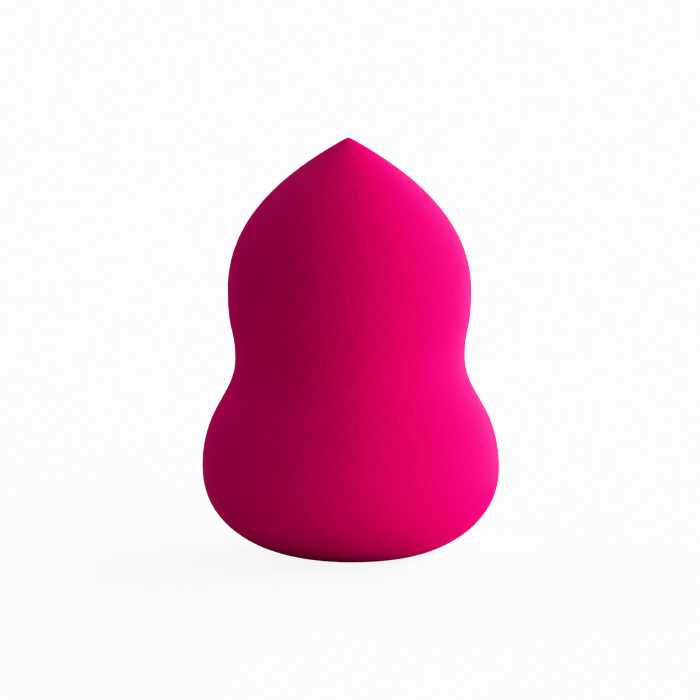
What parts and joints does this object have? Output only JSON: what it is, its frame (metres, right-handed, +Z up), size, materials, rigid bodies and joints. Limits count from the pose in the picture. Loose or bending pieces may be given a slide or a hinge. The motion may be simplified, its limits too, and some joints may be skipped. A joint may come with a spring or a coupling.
{
  "type": "makeup sponge",
  "caption": "Gourd-shaped foam makeup sponge: pointed crown for tight spots, drawn-in waist to hold, and a wide rounded base for pressing and blending make-up on the skin.",
  "frame": {"origin": "centre of the flat face that the sponge rests on", "axes": "+Z up the sponge's axis to its tip; the picture is taken from the -Y side, so +X is to the right in it"},
  "size_m": [0.0426, 0.0426, 0.06],
  "materials": {
    "foam": "matte hot-pink open-cell polyurethane foam"
  },
  "bodies": {
    "root": {"sponge_body": "foam"}
  },
  "joints": []
}
